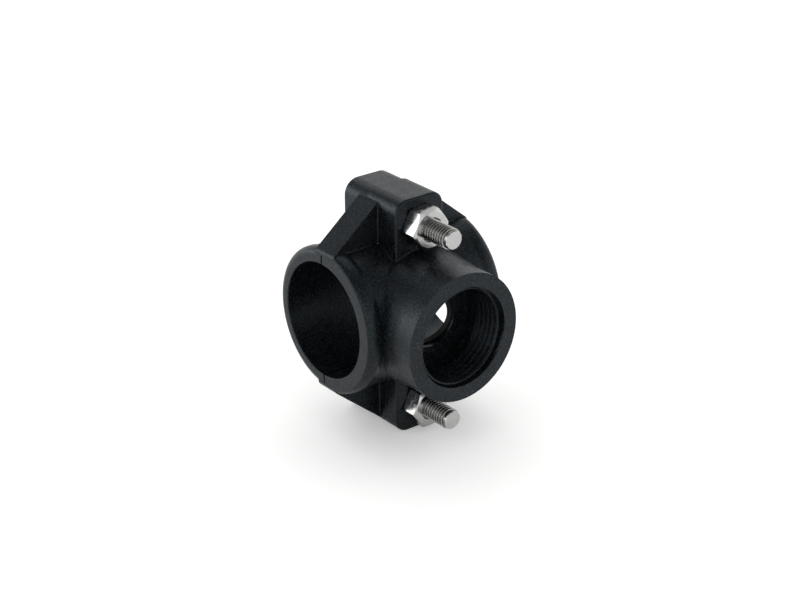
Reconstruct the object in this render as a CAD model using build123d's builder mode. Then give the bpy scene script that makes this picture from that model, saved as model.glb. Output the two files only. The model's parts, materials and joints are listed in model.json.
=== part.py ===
from build123d import *
from math import cos, radians, sqrt, tan
import os

# Tapping saddle for a 40 mm plastic pipe, with a 1 inch parallel threaded outlet.
# Millimetres. X is the pipe's axis, -Y the outlet's, +Z points to the upper lug,
# and the origin is where the two axes cross.

os.makedirs("parts", exist_ok=True)

# Pipe and shells
pipe_diameter = 40.0
pipe_clearance = 0.2          # radial, so that the open halves slip over the pipe
half_length = 28.2            # from the outlet's axis to either mouth
mouth_edge = 0.4              # rounding of the bore's edge at the mouths
rim_width = 4.0               # from the mouth to where the rim starts to slope down to the shell
rim_slope = 1.8
rim_step = 0.4                # how far the rim stands out from the shell
front_rim_wall = 4.4          # flat ring of the mouth, from the bore to its rounded outer edge
front_rim_drop = 1.6          # that rounded edge, across the pipe's axis
front_rim_run = 3.2           # and along it
front_rim_corner = 3.2        # the front rim's corners, seen from the outlet's side
back_rim_wall = 2.2
back_rim_drop = 2.8
back_rim_run = 2.8
slit = 0.7                    # gap between the two shells
slit_depth = 3.2              # how far the gap reaches out from the bore

# Outlet boss
boss_radius = 22.5
boss_reach = 39.3             # from the pipe's axis to the boss's flat face
boss_root_flare = 1.2         # how much wider the root is
boss_root_lead = 1.8          # the root starts to narrow this far in front of the lugs' faces
boss_root_length = 11.0       # and narrows over this length
boss_edge = 0.5
thread_major_radius = 16.62   # G 1 internal thread
thread_minor_radius = 15.15
thread_depth = 14.6           # from the boss's face to the last turn
mouth_recess_radius = 17.5
mouth_recess_depth = 2.3
outlet_floor = 22.8           # floor of the outlet, from the pipe's axis
takeoff_radius = 9.2

# Gasket, a saddle-shaped rubber ring around the take-off hole
gasket_inner_radius = 8.5
gasket_outer_radius = 13.2
gasket_wall = 1.8
gasket_proud = 0.05           # how far it stands into the pipe's bore, squeezed as by a pipe
gasket_seat_clearance = 0.1

# Lugs, one above and one below the pipe
lug_front_width = 19.6
lug_front_margin = 9.65       # from a bolt's axis to the lug's end
lug_front_depth = 16.2
lug_front_corner = 4.6
lug_back_width = 19.8
lug_back_margin = 9.25
lug_back_depth = 12.0
lug_back_corner = 5.4
lug_edge = 0.7
lug_overlap = 4.0             # how far the lugs reach inside the shells' bore before it is cut

# Gussets that join the lugs to the rims, from the flat ring of the front mouth
gusset_peak_drop = 2.694      # from the front lug's end to where the slope meets the lug
gusset_front_depth = 6.6
gusset_back_depth = 3.3
gusset_corner = 2.2
inner_corner = 0.45           # fillet wherever lugs, gussets, shell and boss meet

# Bolts and nuts, M8
bolt_radius = 4.0
bolt_length = 40.0
bolt_tip_reach = 34.0
bolt_tip_chamfer = 0.7
bolt_hole_clearance = 0.4
head_height = 5.3
hex_across_flats = 13.0
head_pocket_clearance = 0.25
head_turn = 30.0              # degrees, a flat towards each mouth
nut_height = 6.5
nut_bore_clearance = 0.03
nut_boss_clearance = 2.45     # from the boss's root to a nut's flat
nut_turn = 5.7                # degrees
hex_chamfer_angle = 30.0

# Only the cutting shapes and the selectors use these
spare_length = 10.0
spare_skin = 1.0
spare_touch = 0.01

# Worked out from the sizes above
bore_radius = pipe_diameter / 2 + pipe_clearance
rim_radius = bore_radius + front_rim_wall + front_rim_drop
gasket_bore_radius = bore_radius - gasket_proud
gasket_skin_radius = gasket_bore_radius + gasket_wall
lug_root = bore_radius - lug_overlap
boss_root_radius = boss_radius + boss_root_flare
boss_root_start = lug_front_depth + boss_root_lead
boss_root_end = boss_root_start + boss_root_length
bolt_offset = boss_root_radius + nut_boss_clearance + hex_across_flats / 2  # bolts, from the pipe's axis
lug_front_height = bolt_offset + lug_front_margin
lug_back_height = bolt_offset + lug_back_margin
gusset_end = bore_radius + front_rim_wall
gusset_peak = lug_front_height - gusset_peak_drop
head_seat = bolt_length - bolt_tip_reach
head_pocket_radius = hex_across_flats / 2 + head_pocket_clearance
hex_corner_radius = hex_across_flats / 2 / cos(radians(30))
hex_chamfer_drop = (hex_corner_radius - hex_across_flats / 2) * tan(radians(hex_chamfer_angle))
reach = boss_reach + spare_length  # longer than anything that it has to cut


def shell_profile(wall, drop, run):
    """Half section of a shell with a rounded rim at each mouth, to be turned about X."""
    face_radius = bore_radius + wall
    rim_start = half_length - rim_width
    body_radius = face_radius + drop - rim_step
    with BuildSketch(Plane.XY) as profile:
        with BuildLine():
            Polyline((0, body_radius), (0, 0), (half_length, 0), (half_length, face_radius))
            EllipticalCenterArc((half_length - run, face_radius), run, drop)
            Polyline(
                (half_length - run, face_radius + drop),
                (rim_start, face_radius + drop),
                (rim_start - rim_slope, body_radius),
                (0, body_radius),
            )
        make_face()
        mirror(about=Plane.YZ)
    return profile.sketch


def lug_outline(width, height, corner):
    """Both lugs seen along the bolts, each with its two outer corners rounded."""
    with BuildSketch(Plane.XZ) as outline:
        with Locations((0, (height + lug_root) / 2)):
            Rectangle(width, height - lug_root)
        fillet(outline.vertices().group_by(Axis.Y)[-1], radius=corner)
        mirror(about=Plane.XZ)
    return outline.sketch


def gusset_outline():
    """Both pairs of gussets: a slope from each side of a lug down to the rims."""
    with BuildSketch(Plane.XZ) as outline:
        with BuildLine():
            Polyline(
                (0, 0),
                (half_length, 0),
                (half_length, gusset_end),
                (lug_back_width / 2, gusset_peak),
                (0, gusset_peak),
                close=True,
            )
        make_face()
        fillet(outline.vertices().sort_by_distance((half_length, gusset_end))[0], radius=gusset_corner)
        mirror(about=Plane.YZ)
        mirror(about=Plane.XZ)
    return outline.sketch


def fillet_inner_corners(half, lug_width, lug_height, lug_corner, gusset_depth):
    """Where the lugs, just added, meet the rest below their rounded ends, and the gussets meet the shell."""
    top = min(lug_height - lug_corner, gusset_peak - spare_touch)
    along_lugs = half.edges(Select.NEW).filter_by_position(Axis.Z, -top, top)
    near, far = gusset_depth - spare_touch, gusset_depth + spare_touch
    in_gusset_face = half.edges().filter_by_position(Axis.Y, near, far)
    along_gussets = in_gusset_face.filter_by(Axis.X).group_by(SortBy.LENGTH)[-1]
    # two things limit the fillet: the narrow ledge where the gusset's peak stands out past the lug's
    # rounded end, and the shortest of the corners
    into_end = max(0, gusset_peak - (lug_height - lug_corner))
    ledge = (lug_back_width - lug_width) / 2 + lug_corner - sqrt(lug_corner ** 2 - into_end ** 2)
    limits = [inner_corner, along_lugs.sort_by(SortBy.LENGTH)[0].length / 2]
    if ledge > spare_touch:
        limits.append(0.9 * ledge)
    fillet(along_lugs + along_gussets, radius=min(limits))


# Lugs of the saddle, with the edges of their front faces rounded
with BuildPart() as front_lugs:
    extrude(lug_outline(lug_front_width, lug_front_height, lug_front_corner), amount=lug_front_depth)
    fillet(front_lugs.faces().group_by(Axis.Y)[0].edges(), radius=lug_edge)

# Outlet boss, turned about Y, with a widened root
with BuildPart() as boss:
    with BuildSketch(Plane.XY) as boss_profile:
        with BuildLine():
            Polyline(
                (0, 0),
                (0, -boss_reach),
                (boss_radius, -boss_reach),
                (boss_radius, -boss_root_end),
                (boss_root_radius, -boss_root_start),
                (boss_root_radius, 0),
                close=True,
            )
        make_face()
        waist = boss_profile.vertices().group_by(Axis.X)[-2].sort_by(Axis.Y)
        fillet(waist[-1], radius=boss_root_length)
        fillet(waist[0], radius=boss_edge)
    revolve(axis=Axis.Y)

# What the pipe takes up, with the rounded edges of the mouths
with BuildPart() as pipe_space:
    Cylinder(bore_radius, 2 * half_length + spare_length, rotation=(0, 90, 0))
    with BuildSketch(Plane.XY) as mouth_flare:
        with BuildLine():
            inside = (half_length - mouth_edge, bore_radius)
            outside = (half_length, bore_radius + mouth_edge)
            corner = bore_radius - spare_skin
            Polyline(inside, (inside[0], corner), (half_length, corner), outside)
            RadiusArc(outside, inside, mouth_edge)
        make_face()
        mirror(about=Plane.YZ)
    revolve(axis=Axis.X)

# What the two shells leave open between them, next to the bore
with BuildPart() as parting_gap:
    Box(2 * reach, slit, 2 * (bore_radius + slit_depth))

# The same holes go through both halves' lugs
with BuildPart() as bolt_holes:
    with Locations((0, 0, bolt_offset), (0, 0, -bolt_offset)):
        Cylinder(bolt_radius + bolt_hole_clearance, 2 * reach, rotation=(90, 0, 0))


def gasket_ring(inner_radius, outer_radius, skin_inner, skin_outer):
    """Part of a skin about X that lies between two cylinders about the outlet's axis."""
    with BuildPart() as ring:
        with BuildSketch(Plane.XZ):
            Circle(outer_radius)
            Circle(inner_radius, mode=Mode.SUBTRACT)
        extrude(amount=reach)
        Cylinder(skin_outer, 2 * half_length, rotation=(0, 90, 0), mode=Mode.INTERSECT)
        Cylinder(skin_inner, 2 * half_length, rotation=(0, 90, 0), mode=Mode.SUBTRACT)
    return ring.part


# The gasket, and the seat that is cut for it around the take-off hole
gasket = gasket_ring(gasket_inner_radius, gasket_outer_radius, gasket_bore_radius, gasket_skin_radius)
gasket.label = "gasket"
export_step(gasket, "parts/gasket.step")

seat_outer_radius = gasket_outer_radius + gasket_seat_clearance
seat_inner_radius = takeoff_radius - spare_skin
gasket_seat = gasket_ring(seat_inner_radius, seat_outer_radius, bore_radius - spare_skin, gasket_skin_radius)


# Saddle: the half that carries the outlet
with BuildPart() as outlet_saddle:
    revolve(shell_profile(front_rim_wall, front_rim_drop, front_rim_run), axis=Axis.X)
    with BuildSketch(Plane.XZ):
        RectangleRounded(2 * half_length, 2 * rim_radius, front_rim_corner)
    extrude(amount=reach, mode=Mode.INTERSECT)
    extrude(gusset_outline(), amount=gusset_front_depth)
    add(boss.part)
    add(front_lugs.part)
    fillet_inner_corners(
        outlet_saddle, lug_front_width, lug_front_height, lug_front_corner, -gusset_front_depth
    )
    add(pipe_space.part, mode=Mode.SUBTRACT)
    add(parting_gap.part, mode=Mode.SUBTRACT)
    add(bolt_holes.part, mode=Mode.SUBTRACT)
    with BuildSketch(Plane.XZ):
        Circle(takeoff_radius)
    extrude(amount=reach, mode=Mode.SUBTRACT)
    with BuildSketch(Plane.XZ.offset(outlet_floor)):
        Circle(thread_minor_radius)
    extrude(amount=reach, mode=Mode.SUBTRACT)
    with BuildSketch(Plane.XZ.offset(boss_reach - thread_depth)):
        Circle(thread_major_radius)
    extrude(amount=reach, mode=Mode.SUBTRACT)
    with BuildSketch(Plane.XZ.offset(boss_reach - mouth_recess_depth)):
        Circle(mouth_recess_radius)
    extrude(amount=reach, mode=Mode.SUBTRACT)
    add(gasket_seat, mode=Mode.SUBTRACT)
outlet_saddle.part.label = "outlet_saddle"
export_step(outlet_saddle.part, "parts/outlet_saddle.step")

# Clamp: the half behind the pipe, with a pocket for each bolt's head
with BuildPart() as back_lugs:
    extrude(lug_outline(lug_back_width, lug_back_height, lug_back_corner), amount=-lug_back_depth)
    fillet(back_lugs.faces().group_by(Axis.Y)[-1].edges(), radius=lug_edge)

with BuildPart() as clamp_back:
    revolve(shell_profile(back_rim_wall, back_rim_drop, back_rim_run), axis=Axis.X)
    extrude(gusset_outline(), amount=-gusset_back_depth)
    add(back_lugs.part)
    fillet_inner_corners(clamp_back, lug_back_width, lug_back_height, lug_back_corner, gusset_back_depth)
    split(bisect_by=Plane.XZ, keep=Keep.BOTTOM)
    add(pipe_space.part, mode=Mode.SUBTRACT)
    add(parting_gap.part, mode=Mode.SUBTRACT)
    add(bolt_holes.part, mode=Mode.SUBTRACT)
    with BuildSketch(Plane.XZ.offset(-head_seat)):
        with Locations((0, bolt_offset), (0, -bolt_offset)):
            RegularPolygon(head_pocket_radius, 6, major_radius=False, rotation=head_turn)
    extrude(amount=-reach, mode=Mode.SUBTRACT)
clamp_back.part.label = "clamp_back"
export_step(clamp_back.part, "parts/clamp_back.step")


def hex_blank(height, turn):
    """A hexagon along Y from 0 to -height, both faces chamfered to a cone."""
    with BuildPart() as blank:
        with BuildSketch(Plane.XZ):
            RegularPolygon(hex_across_flats / 2, 6, major_radius=False, rotation=turn)
        extrude(amount=height)
        with BuildSketch(Plane.XY):
            with BuildLine():
                Polyline(
                    (0, 0),
                    (hex_across_flats / 2, 0),
                    (hex_corner_radius, -hex_chamfer_drop),
                    (hex_corner_radius, hex_chamfer_drop - height),
                    (hex_across_flats / 2, -height),
                    (0, -height),
                    close=True,
                )
            make_face()
        revolve(axis=Axis.Y, mode=Mode.INTERSECT)
    return blank.part


# Bolts: a hexagon head sunk in the clamp, and a shank that ends in a chamfered tip
for name, z in (("bolt_upper", bolt_offset), ("bolt_lower", -bolt_offset)):
    with BuildPart() as bolt:
        with Locations((0, head_seat + head_height, z)):
            add(hex_blank(head_height, head_turn))
        with BuildSketch(Plane.XZ.offset(-head_seat)):
            with Locations((0, z)):
                Circle(bolt_radius)
        extrude(amount=bolt_length)
        chamfer(bolt.edges().sort_by(Axis.Y)[0], length=bolt_tip_chamfer)
    bolt.part.label = name
    export_step(bolt.part, f"parts/{name}.step")

# Nuts, each against the front face of its lug
for name, z in (("nut_upper", bolt_offset), ("nut_lower", -bolt_offset)):
    with BuildPart() as nut:
        with Locations((0, -lug_front_depth, z)):
            add(hex_blank(nut_height, nut_turn))
        with BuildSketch(Plane.XZ):
            with Locations((0, z)):
                Circle(bolt_radius + nut_bore_clearance)
        extrude(amount=reach, mode=Mode.SUBTRACT)
    nut.part.label = name
    export_step(nut.part, f"parts/{name}.step")
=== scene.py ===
import json
from math import cos, pi, radians, sin, tan

import bmesh
import bpy
from mathutils import Matrix, Vector


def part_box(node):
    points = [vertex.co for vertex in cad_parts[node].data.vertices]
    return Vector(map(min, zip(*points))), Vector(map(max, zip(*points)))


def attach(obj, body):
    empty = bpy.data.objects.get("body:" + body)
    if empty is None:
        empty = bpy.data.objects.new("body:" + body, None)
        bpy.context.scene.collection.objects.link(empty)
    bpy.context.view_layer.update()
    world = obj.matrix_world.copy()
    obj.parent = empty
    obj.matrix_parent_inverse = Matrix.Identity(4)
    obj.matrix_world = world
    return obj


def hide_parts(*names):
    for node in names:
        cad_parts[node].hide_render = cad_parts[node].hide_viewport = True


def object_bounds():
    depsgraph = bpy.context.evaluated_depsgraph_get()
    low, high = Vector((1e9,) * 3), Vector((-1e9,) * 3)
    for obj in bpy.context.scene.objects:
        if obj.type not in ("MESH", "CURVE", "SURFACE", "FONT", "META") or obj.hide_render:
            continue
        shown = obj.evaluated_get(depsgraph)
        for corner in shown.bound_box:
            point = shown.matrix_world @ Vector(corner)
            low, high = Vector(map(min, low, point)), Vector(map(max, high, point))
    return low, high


mm = 0.001
mergeDistance = 0.0005 * mm

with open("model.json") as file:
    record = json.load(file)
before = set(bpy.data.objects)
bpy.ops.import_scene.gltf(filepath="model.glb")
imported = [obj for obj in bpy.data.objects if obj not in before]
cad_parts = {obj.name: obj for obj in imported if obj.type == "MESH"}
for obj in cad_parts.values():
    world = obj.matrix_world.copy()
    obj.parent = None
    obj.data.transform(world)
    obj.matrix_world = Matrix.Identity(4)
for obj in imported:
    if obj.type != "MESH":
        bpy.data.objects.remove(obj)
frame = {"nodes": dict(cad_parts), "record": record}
cadLow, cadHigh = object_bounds()
nodes = frame["nodes"]
mounts = {mount["name"]: mount for mount in frame["record"]["mounts"]}
boltLow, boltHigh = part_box("bolt_upper")
boltOffset = (boltLow.z + boltHigh.z) / 2  # from the pipe's axis to either bolt's
boltTip = boltLow.y
print("frame loaded:", ", ".join(sorted(nodes)))


def addNode(tree, kind, inputs={}, **settings):
    node = tree.nodes.new(kind)
    for name, value in settings.items():
        setattr(node, name, value)
    for socket, value in inputs.items():
        if isinstance(value, bpy.types.NodeSocket):
            tree.links.new(value, node.inputs[socket])
        else:
            node.inputs[socket].default_value = value
    return node


def linear(colour):
    # sRGB hex to the linear colour that the nodes work in
    parts = [int(colour[i:i + 2], 16) / 255 for i in (1, 3, 5)]
    return [p / 12.92 if p <= 0.04045 else ((p + 0.055) / 1.055) ** 2.4 for p in parts] + [1]


def startMaterial(name):
    material = bpy.data.materials.new(name)
    material.use_nodes = True
    tree = material.node_tree
    place = addNode(tree, "ShaderNodeTexCoord").outputs["Object"]
    return material, tree, tree.nodes["Principled BSDF"], place


def noise(tree, place, size, detail):
    return addNode(tree, "ShaderNodeTexNoise", {"Vector": place, "Scale": 1 / size, "Detail": detail}).outputs[0]


def streakyNoise(tree, place, sizes, detail):
    squeezed = addNode(tree, "ShaderNodeMapping", {"Vector": place, "Scale": [1 / size for size in sizes]})
    return noise(tree, squeezed.outputs[0], 1.0, detail)


def blend(tree, share, first, second):
    mix = addNode(tree, "ShaderNodeMix", {"Factor": share, 6: first, 7: second}, data_type="RGBA")
    return mix.outputs[2]


def remap(tree, value, low, high, start=0.0, end=1.0):
    return addNode(tree, "ShaderNodeMapRange", {
        "Value": value, "From Min": low, "From Max": high, "To Min": start, "To Max": end}).outputs[0]


def math(tree, operation, *values):
    return addNode(tree, "ShaderNodeMath", dict(enumerate(values)), operation=operation).outputs[0]


def relief(tree, height, depth, strength=1.0):
    bump = addNode(tree, "ShaderNodeBump", {"Height": height, "Distance": depth, "Strength": strength})
    return bump.outputs[0]


polypropylene = {
    "dark": "#020303", "pale": "#090b0c",
    "roughness": (0.22, 0.40),
    "ior": 1.49,
    "gloss": "#dcf0ff",  # the pigment's faint blue cast shows in its gloss
    "glossLevel": 0.36,  # the grain traps part of the reflection
    "speck": 0.5 * mm, "paintedGlintColour": "#26292c", "paintedGlintRange": (0.54, 0.66),  # painted highlight: pale specks in the colour stand in for glints off the scuffed grain
    "grain": 0.6 * mm, "grainDepth": 0.11 * mm,  # spark-eroded mould grain, drawn about three times its real size
    "cloud": 3.2 * mm, "streak": (0.9 * mm, 0.9 * mm, 7 * mm), "streakShare": 0.45,
    "toneRange": (0.32, 0.68), "roughnessRange": (0.3, 0.7),
}


def mouldedPolypropylene(spec):
    # injection-moulded PP, black with a blue-grey cast: satin, faintly grainy, with soft cloudy patches and pale
    # specks painted in as glints
    material, tree, shader, place = startMaterial("mouldedPolypropylene")
    cloud = noise(tree, place, spec["cloud"], 4.0)
    streak = streakyNoise(tree, place, spec["streak"], 3.0)
    patches = addNode(tree, "ShaderNodeMix", {"Factor": spec["streakShare"], "A": cloud, "B": streak}).outputs[0]
    tone = remap(tree, patches, *spec["toneRange"])
    base = blend(tree, tone, linear(spec["dark"]), linear(spec["pale"]))
    # painted highlight: pale specks in the base colour, standing in for the grain's glints
    paintedGlint = remap(tree, noise(tree, place, spec["speck"], 1.0), *spec["paintedGlintRange"])
    colour = blend(tree, paintedGlint, base, linear(spec["paintedGlintColour"]))
    smoothest, roughest = spec["roughness"]
    roughness = remap(tree, patches, *spec["roughnessRange"], roughest, smoothest)
    bump = relief(tree, noise(tree, place, spec["grain"], 2.0), spec["grainDepth"])
    shader.inputs["IOR"].default_value = spec["ior"]
    shader.inputs["Specular Tint"].default_value = linear(spec["gloss"])
    shader.inputs["Specular IOR Level"].default_value = spec["glossLevel"]
    tree.links.new(colour, shader.inputs["Base Color"])
    tree.links.new(roughness, shader.inputs["Roughness"])
    tree.links.new(bump, shader.inputs["Normal"])
    return material


zincPlate = {
    "dark": "#b9babb", "pale": "#dddddb",
    "roughness": (0.10, 0.24), "patch": 1.8 * mm, "patchRange": (0.35, 0.65),
    "scratch": (0.25 * mm, 0.05 * mm, 0.25 * mm), "scratchDepth": 0.0006 * mm,
    "rootShade": "#8c8c88", "rootShadeRadius": (3.3 * mm, 3.6 * mm),  # painted shade: the bolts' thread roots are coloured darker, as if in shadow
    "unshadedTip": 0.3 * mm,
}


def brightZincPlatedSteel(spec):
    # cold-headed steel with bright zinc plating: mirror-like but uneven, with fine rolled marks round it, and
    # painted shade in the thread roots
    material, tree, shader, place = startMaterial("brightZincPlatedSteel")
    patch = noise(tree, place, spec["patch"], 5.0)
    plate = blend(tree, patch, linear(spec["dark"]), linear(spec["pale"]))
    apart = addNode(tree, "ShaderNodeSeparateXYZ", {0: place}).outputs
    above = math(tree, "SUBTRACT", math(tree, "ABSOLUTE", apart["Z"]), boltOffset)
    across = addNode(tree, "ShaderNodeCombineXYZ", {"X": apart["X"], "Z": above}).outputs[0]
    fromAxis = addNode(tree, "ShaderNodeVectorMath", {0: across}, operation="LENGTH").outputs["Value"]
    # painted shade: the colour darkens towards the thread roots, nearer the bolt's axis
    fullShadeTo, noShadeFrom = spec["rootShadeRadius"]
    inRoots = remap(tree, fromAxis, noShadeFrom, fullShadeTo)
    halfway = (boltTip + spec["unshadedTip"]) / 2
    onThread = math(tree, "COMPARE", apart["Y"], halfway, -halfway)  # the flat tip and the head get no painted shade
    colour = blend(tree, math(tree, "MULTIPLY", inRoots, onThread), plate, linear(spec["rootShade"]))
    roughness = remap(tree, patch, *spec["patchRange"], *spec["roughness"])
    bump = relief(tree, streakyNoise(tree, place, spec["scratch"], 2.0), spec["scratchDepth"])
    shader.inputs["Metallic"].default_value = 1.0
    tree.links.new(colour, shader.inputs["Base Color"])
    tree.links.new(roughness, shader.inputs["Roughness"])
    tree.links.new(bump, shader.inputs["Normal"])
    return material


epdm = {
    "dark": "#0d0d0d", "pale": "#1d1d1c",
    "roughness": 0.72, "speck": 0.5 * mm, "speckDepth": 0.02 * mm, "speckStrength": 0.8,
}


def mouldedEpdm(spec):
    # moulded EPDM rubber: matt black, slightly dusty
    material, tree, shader, place = startMaterial("mouldedEpdm")
    speck = noise(tree, place, spec["speck"], 4.0)
    colour = blend(tree, speck, linear(spec["dark"]), linear(spec["pale"]))
    bump = relief(tree, speck, spec["speckDepth"], spec["speckStrength"])
    shader.inputs["Roughness"].default_value = spec["roughness"]
    tree.links.new(colour, shader.inputs["Base Color"])
    tree.links.new(bump, shader.inputs["Normal"])
    return material


plastic = mouldedPolypropylene(polypropylene)
steel = brightZincPlatedSteel(zincPlate)
rubber = mouldedEpdm(epdm)
for name, finish in (("outlet_saddle", plastic), ("clamp_back", plastic), ("gasket", rubber)):
    nodes[name].data.materials.clear()
    nodes[name].data.materials.append(finish)
print("materials made")


# screw threads: one Geometry Nodes tree sweeps a trapezium along a helix

thinnest = 0.02  # the ridge's scale at its two ends
crestSteps = 3


def screwThreadTree():
    tree = bpy.data.node_groups.new("screwThread", "GeometryNodeTree")
    tree.interface.new_socket("Mesh", in_out="OUTPUT", socket_type="NodeSocketGeometry")
    for name, kind in (
        ("Wall Radius", "NodeSocketFloat"), ("Pitch", "NodeSocketFloat"), ("Turns", "NodeSocketFloat"),
        ("Ridge Height", "NodeSocketFloat"), ("Root Width", "NodeSocketFloat"), ("Crest Width", "NodeSocketFloat"),
        ("Crest Rounding", "NodeSocketFloat"), ("Side", "NodeSocketFloat"), ("Fade Turns", "NodeSocketFloat"),
        ("Steps per Turn", "NodeSocketInt"), ("Material", "NodeSocketMaterial"),
    ):
        tree.interface.new_socket(name, in_out="INPUT", socket_type=kind)
    given = addNode(tree, "NodeGroupInput").outputs

    rise = math(tree, "MULTIPLY", given["Pitch"], given["Turns"])
    helix = addNode(tree, "GeometryNodeCurveSpiral", {
        "Resolution": given["Steps per Turn"], "Rotations": given["Turns"], "Height": rise,
        "Start Radius": given["Wall Radius"], "End Radius": given["Wall Radius"]})
    upright = addNode(tree, "GeometryNodeSetCurveNormal", {"Curve": helix.outputs[0]})
    if "Mode" in upright.inputs:
        upright.inputs["Mode"].default_value = "Z Up"
    else:
        upright.mode = "Z_UP"

    # the ridge thins out to nothing over the first and the last stretch
    along = addNode(tree, "GeometryNodeSplineParameter").outputs["Factor"]
    nearest = math(tree, "MINIMUM", along, math(tree, "SUBTRACT", 1.0, along))
    turnsIn = math(tree, "MULTIPLY", nearest, given["Turns"])
    share = remap(tree, turnsIn, 0.0, given["Fade Turns"], thinnest)
    fading = addNode(tree, "GeometryNodeSetCurveRadius", {"Curve": upright.outputs[0], "Radius": share})

    # the ridge's section stands on the wall, towards the axis (Side -1) or away from it (Side 1)
    section = addNode(tree, "GeometryNodeCurvePrimitiveQuadrilateral", {
        "Height": given["Ridge Height"], "Bottom Width": given["Root Width"], "Top Width": given["Crest Width"],
        "Offset": 0.0}, mode="TRAPEZOID")
    rounded = addNode(tree, "GeometryNodeFilletCurve", {
        "Curve": section.outputs[0], "Radius": given["Crest Rounding"]})
    if "Mode" in rounded.inputs:
        rounded.inputs["Mode"].default_value = "Poly"
    else:
        rounded.mode = "POLY"
    rounded.inputs["Count"].default_value = crestSteps
    rounded.inputs["Limit Radius"].default_value = True
    lift = addNode(tree, "ShaderNodeCombineXYZ", {"Y": math(tree, "MULTIPLY", given["Ridge Height"], 0.5)})
    standing = addNode(tree, "GeometryNodeTransform", {
        "Geometry": rounded.outputs[0], "Translation": lift.outputs[0]})
    facing = addNode(tree, "ShaderNodeCombineXYZ", {"X": given["Side"], "Y": given["Side"], "Z": 1.0})
    turned = addNode(tree, "GeometryNodeTransform", {
        "Geometry": standing.outputs[0], "Scale": facing.outputs[0]})

    ridge = addNode(tree, "GeometryNodeCurveToMesh", {
        "Curve": fading.outputs[0], "Profile Curve": turned.outputs[0], "Fill Caps": True})
    if "Scale" in ridge.inputs:
        tree.links.new(share, ridge.inputs["Scale"])
    real = addNode(tree, "GeometryNodeRealizeInstances", {"Geometry": ridge.outputs[0]})
    painted = addNode(tree, "GeometryNodeSetMaterial", {
        "Geometry": real.outputs[0], "Material": given["Material"]})
    addNode(tree, "NodeGroupOutput", {0: painted.outputs[0]})
    return tree


threadTree = screwThreadTree()
alongOutlet = Matrix.Rotation(pi / 2, 4, "X")  # the tree's +Z becomes -Y, the way the outlet and the bolts point
threadSharp, steelSharp = 35, 28  # degrees between faces, past which an edge is drawn sharp


def shadeByAngle(mesh, degrees):
    mesh.polygons.foreach_set("use_smooth", [True] * len(mesh.polygons))
    mesh.set_sharp_from_angle(angle=radians(degrees))


def threadMesh(name, values, place):
    # runs the tree and keeps its result as a plain mesh, in place
    carrier = bpy.data.objects.new(name + "Carrier", bpy.data.meshes.new(name))
    bpy.context.scene.collection.objects.link(carrier)
    modifier = carrier.modifiers.new("screwThread", "NODES")
    modifier.node_group = threadTree
    items = threadTree.interface.items_tree
    sockets = {item.name: item.identifier for item in items if item.in_out == "INPUT"}
    for socket, value in values.items():
        modifier[sockets[socket]] = value
    bpy.context.view_layer.update()
    evaluated = carrier.evaluated_get(bpy.context.evaluated_depsgraph_get())
    mesh = bpy.data.meshes.new_from_object(evaluated)
    bpy.data.objects.remove(carrier)
    mesh.transform(place @ alongOutlet)
    cleaned = bmesh.new()
    cleaned.from_mesh(mesh)
    bmesh.ops.remove_doubles(cleaned, verts=cleaned.verts, dist=mergeDistance)
    bmesh.ops.recalc_face_normals(cleaned, faces=cleaned.faces)
    cleaned.to_mesh(mesh)
    cleaned.free()
    shadeByAngle(mesh, threadSharp)
    return mesh


def addPiece(name, mesh, body, replaced=()):
    piece = bpy.data.objects.new(name, mesh)
    bpy.context.scene.collection.objects.link(piece)
    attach(piece, body)
    if replaced:
        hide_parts(*replaced)
    return piece


rootSink = 0.03 * mm  # how far a thread's ridge is sunk into its wall

# the outlet's internal thread, G 1: 2.309 mm pitch, cut 1.48 mm deep
outletThread = {
    "Wall Radius": mounts["outlet_thread"]["dims"]["r_mm"] * mm + rootSink,
    "Pitch": 2.309 * mm,
    "Turns": 5.6,
    "Ridge Height": 1.50 * mm,
    "Root Width": 2.02 * mm,
    "Crest Width": 0.5 * mm,
    "Crest Rounding": 0.22 * mm,
    "Side": -1.0,
    "Fade Turns": 0.22,
    "Steps per Turn": 144,
    "Material": plastic,
}
lastCrest = 24.9 * mm  # the innermost turn, from the pipe's axis
threadStartAngle = 100  # degrees round the outlet's axis
helixPlace = Matrix.Translation((0, -lastCrest, 0)) @ Matrix.Rotation(radians(threadStartAngle), 4, "Y")
outletRidge = threadMesh("outlet_thread_ridge", outletThread, helixPlace)
addPiece("outlet_thread_ridge", outletRidge, "saddle")
print("outlet thread made")


# bolts and nuts: M8, skinned from rings around the bolt's axis

hexagon = {
    "acrossFlats": 13.0 * mm,
    "cornerClip": 0.03875 * mm,  # taken off each corner
    "chamferStart": 6.15 * mm,  # radius where the 30 degree chamfer leaves the flat face
    "chamferSlope": tan(radians(30)),
    "steps": 120,
}


def hexRadius(angle):
    # distance from the axis to the hexagon's side, with each corner clipped round
    inFlat = (angle + pi / 6) % (pi / 3) - pi / 6
    flat = hexagon["acrossFlats"] / 2 / cos(inFlat)
    corner = hexagon["acrossFlats"] / 2 / cos(pi / 6) - hexagon["cornerClip"]
    return min(flat, corner)


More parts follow.
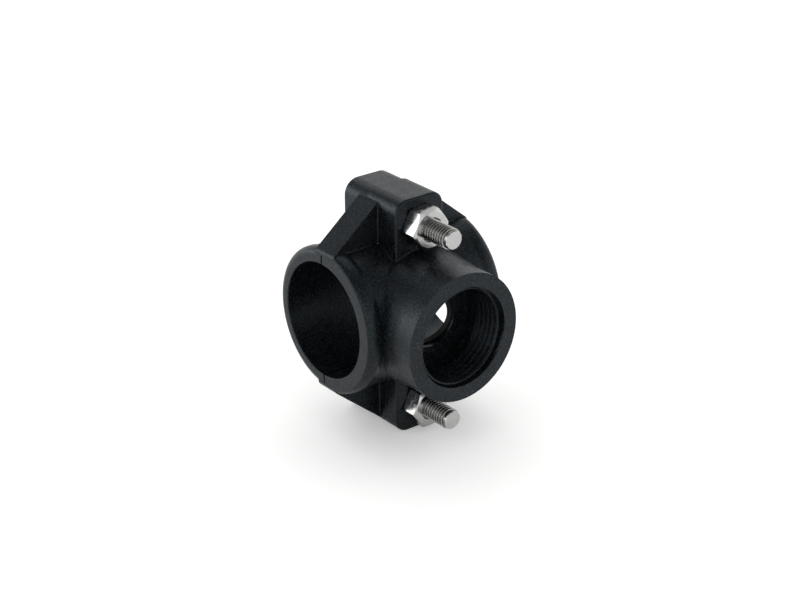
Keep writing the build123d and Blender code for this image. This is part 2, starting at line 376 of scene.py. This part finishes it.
def skinRings(name, rings, place, closed=True):
    # each ring is a list of (radius, depth) by angle; the last ring joins the first if closed
    steps = hexagon["steps"]
    solid = bmesh.new()
    grid = []
    for ring in rings:
        row = []
        for i, (radius, depth) in enumerate(ring):
            angle = 2 * pi * i / steps
            row.append(solid.verts.new((radius * cos(angle), -depth, radius * sin(angle))))
        grid.append(row)
    pairs = list(zip(grid, grid[1:])) + ([(grid[-1], grid[0])] if closed else [])
    for upper, lower in pairs:
        for i in range(steps):
            k = (i + 1) % steps
            solid.faces.new((upper[i], upper[k], lower[k], lower[i]))
    if not closed:
        solid.faces.new(grid[0])
        solid.faces.new(grid[-1][::-1])
    bmesh.ops.remove_doubles(solid, verts=solid.verts, dist=mergeDistance)
    bmesh.ops.recalc_face_normals(solid, faces=solid.faces)
    mesh = bpy.data.meshes.new(name)
    solid.to_mesh(mesh)
    solid.free()
    mesh.transform(place)
    shadeByAngle(mesh, steelSharp)
    mesh.materials.append(steel)
    return mesh


def plainRing(radius, depth):
    return [(radius, depth)] * hexagon["steps"]


def hexRing(depth, towards):
    # where the 30 degree chamfer meets the sides; towards is -1 for the near face and 1 for the far one
    ring = []
    for i in range(hexagon["steps"]):
        radius = hexRadius(2 * pi * i / hexagon["steps"])
        fall = max(0.0, radius - hexagon["chamferStart"]) * hexagon["chamferSlope"]
        ring.append((radius, depth - towards * fall))
    return ring


metricThread = {
    "crestRadius": 3.97 * mm,
    "rootRadius": 3.28 * mm,
    "Pitch": 1.25 * mm,
    "Root Width": 1.04 * mm,
    "Crest Width": 0.2 * mm,
    "Crest Rounding": 0.06 * mm,
    "Side": 1.0,
    "Fade Turns": 0.35,
    "Steps per Turn": 72,
}

bolt = {
    "threadLength": 22.0 * mm,
    "tipChamfer": 0.75 * mm,
    "headHeight": 5.3 * mm,
    "shankRadius": 4.0 * mm,
    "headFillet": 0.35 * mm,
    "neck": 0.5 * mm,
    "tipShare": 0.35,  # the tip's chamfer past the thread's root, as a share of the whole
    "ridgeStart": 0.2 * mm,  # the thread begins this far past the neck
    "ridgeShort": 0.5 * mm,  # and is this much shorter than the threaded length
}

nut = {
    "mouthRadius": 4.3 * mm,
    "mouthDepth": 0.55 * mm,
    "boreRadius": 4.03 * mm,  # plain, as the bolt hides it
    "turn": 35.7,  # degrees, as each nut was left when it was tightened
}


def boltThread(turns):
    shared = ("Pitch", "Root Width", "Crest Width", "Crest Rounding", "Side", "Fade Turns", "Steps per Turn")
    return {name: metricThread[name] for name in shared} | {
        "Wall Radius": metricThread["rootRadius"] - rootSink,
        "Ridge Height": metricThread["crestRadius"] - metricThread["rootRadius"] + rootSink,
        "Turns": turns,
        "Material": steel,
    }


def joinMeshes(name, parts):
    whole = bmesh.new()
    for part in parts:
        whole.from_mesh(part)
    mesh = bpy.data.meshes.new(name)
    whole.to_mesh(mesh)
    whole.free()
    mesh.materials.append(steel)
    shadeByAngle(mesh, steelSharp)
    return mesh


def makeBolt(name):
    low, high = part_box(name)
    across = (low.z + high.z) / 2
    tip, top = -low.y, -high.y  # depths along -Y
    seat = top + bolt["headHeight"]
    root = metricThread["rootRadius"]
    threadStart = tip - bolt["threadLength"]
    start, shank, fillet = hexagon["chamferStart"], bolt["shankRadius"], bolt["headFillet"]
    tipCut = bolt["tipChamfer"] * bolt["tipShare"]
    rings = [
        plainRing(start, top), hexRing(top, -1), hexRing(seat, 1), plainRing(start, seat),
        plainRing(shank + fillet, seat), plainRing(shank, seat + fillet),
        plainRing(shank, threadStart - bolt["neck"]), plainRing(root, threadStart),
        plainRing(root, tip - tipCut), plainRing(root - tipCut, tip),
    ]
    core = skinRings(name + "Core", rings, Matrix.Translation((0, 0, across)), closed=False)
    turns = (bolt["threadLength"] - bolt["ridgeShort"]) / metricThread["Pitch"]
    place = Matrix.Translation((0, -threadStart + bolt["ridgeStart"], across))
    ridge = threadMesh(name + "Ridge", boltThread(turns), place)
    return joinMeshes(name + "_threaded", [core, ridge])


def makeNut(name):
    low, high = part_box(name)
    across = (low.z + high.z) / 2
    near, far = -high.y, -low.y
    start = hexagon["chamferStart"]
    rings = [
        plainRing(nut["mouthRadius"], near), plainRing(start, near), hexRing(near, -1),
        hexRing(far, 1), plainRing(start, far), plainRing(nut["mouthRadius"], far),
        plainRing(nut["boreRadius"], far - nut["mouthDepth"]),
        plainRing(nut["boreRadius"], near + nut["mouthDepth"]),
    ]
    turn = Matrix.Rotation(radians(-nut["turn"]), 4, "Y")
    return skinRings(name + "_turned", rings, Matrix.Translation((0, 0, across)) @ turn)


for name in ("bolt_upper", "bolt_lower"):
    addPiece(name + "_threaded", makeBolt(name), "clamp", [name])
for name, body in (("nut_upper", "upper_nut"), ("nut_lower", "lower_nut")):
    addPiece(name + "_turned", makeNut(name), body, [name])
print("bolts and nuts made")


room = {
    "floorColour": "#f4f4f3", "floorSize": 4.0, "floorRoughness": 0.6,
    "floorGlow": 0.26,  # lifts the floor to white for the camera alone
    "softLight": 0.85,  # the walls' light on everything
    "ceiling": 0.22,  # dimmer in gloss than the white walls and floor
    "ceilingRange": (0.3, 0.7),  # height of the look upwards at which the walls turn into the ceiling
    "camera": {
        "azimuth": -37.824, "elevation": 24.877, "roll": 0.283,
        "distance": 645.6 * mm, "right": 3.40 * mm, "up": -0.60 * mm, "lens": 85.43,
    },
    "lamps": {
        # name: (azimuth, elevation, distance, width, height, watts)
        "overhead": (150, 60, 1.0, 0.9, 0.9, 2.0),
        "backLeft": (-138, 12, 0.9, 0.6, 0.4, 1.3),
    },
}


def direction(azimuth, elevation):
    a, e = radians(azimuth), radians(elevation)
    return Vector((sin(a) * cos(e), -cos(a) * cos(e), sin(e)))


def makeFloor(spec):
    half = spec["floorSize"] / 2
    mesh = bpy.data.meshes.new("floor")
    corners = [(x * half, y * half, cadLow.z) for x, y in ((-1, -1), (1, -1), (1, 1), (-1, 1))]
    mesh.from_pydata(corners, [], [(0, 1, 2, 3)])
    material = bpy.data.materials.new("paintedBoard")
    material.use_nodes = True
    tree = material.node_tree
    shader = tree.nodes["Principled BSDF"]
    shader.inputs["Base Color"].default_value = linear(spec["floorColour"])
    shader.inputs["Roughness"].default_value = spec["floorRoughness"]
    shader.inputs["Emission Color"].default_value = (1, 1, 1, 1)
    ray = addNode(tree, "ShaderNodeLightPath").outputs
    glow = math(tree, "MULTIPLY", ray["Is Camera Ray"], spec["floorGlow"])
    tree.links.new(glow, shader.inputs["Emission Strength"])
    mesh.materials.append(material)
    floor = bpy.data.objects.new("floor", mesh)
    bpy.context.scene.collection.objects.link(floor)


def makeLamps(spec):
    for name, (azimuth, elevation, distance, width, height, watts) in spec["lamps"].items():
        light = bpy.data.lights.new(name, "AREA")
        light.shape, light.size, light.size_y, light.energy = "RECTANGLE", width, height, watts
        lamp = bpy.data.objects.new(name, light)
        back = direction(azimuth, elevation)
        lamp.location = back * distance
        lamp.rotation_mode = "QUATERNION"
        lamp.rotation_quaternion = back.to_track_quat("Z", "Y")
        bpy.context.scene.collection.objects.link(lamp)


def makeWorld(spec):
    world = bpy.data.worlds.new("studio")
    world.use_nodes = True
    tree = world.node_tree
    background = tree.nodes["Background"]
    background.inputs["Color"].default_value = (1, 1, 1, 1)
    way = addNode(tree, "ShaderNodeSeparateXYZ", {0: addNode(tree, "ShaderNodeTexCoord").outputs["Generated"]})
    walls = remap(tree, way.outputs["Z"], *spec["ceilingRange"], 1.0, spec["ceiling"])
    ray = addNode(tree, "ShaderNodeLightPath").outputs
    mirrored = math(tree, "MAXIMUM", ray["Is Glossy Ray"], ray["Is Transmission Ray"])
    reflected = addNode(tree, "ShaderNodeMix", {0: mirrored, 2: spec["softLight"], 3: walls})
    strength = addNode(tree, "ShaderNodeMix", {0: ray["Is Camera Ray"], 2: reflected.outputs[0], 3: 1.0})
    tree.links.new(strength.outputs[0], background.inputs["Strength"])
    bpy.context.scene.world = world


def makeCamera(spec):
    back = direction(spec["azimuth"], spec["elevation"])
    level = Vector((cos(radians(spec["azimuth"])), sin(radians(spec["azimuth"])), 0))
    upright = back.cross(level)
    r = radians(spec["roll"])
    right = cos(r) * level - sin(r) * upright
    up = sin(r) * level + cos(r) * upright
    lens = bpy.data.cameras.new("camera")
    lens.sensor_width = 36
    lens.lens = spec["lens"]
    camera = bpy.data.objects.new("camera", lens)
    camera.matrix_world = Matrix((right, up, back)).transposed().to_4x4()
    camera.location = right * spec["right"] + up * spec["up"] + back * spec["distance"]
    bpy.context.scene.collection.objects.link(camera)
    bpy.context.scene.camera = camera


makeFloor(room)
makeLamps(room)
makeWorld(room)
makeCamera(room["camera"])
bpy.context.scene.view_settings.view_transform = "Standard"
print("stage set")
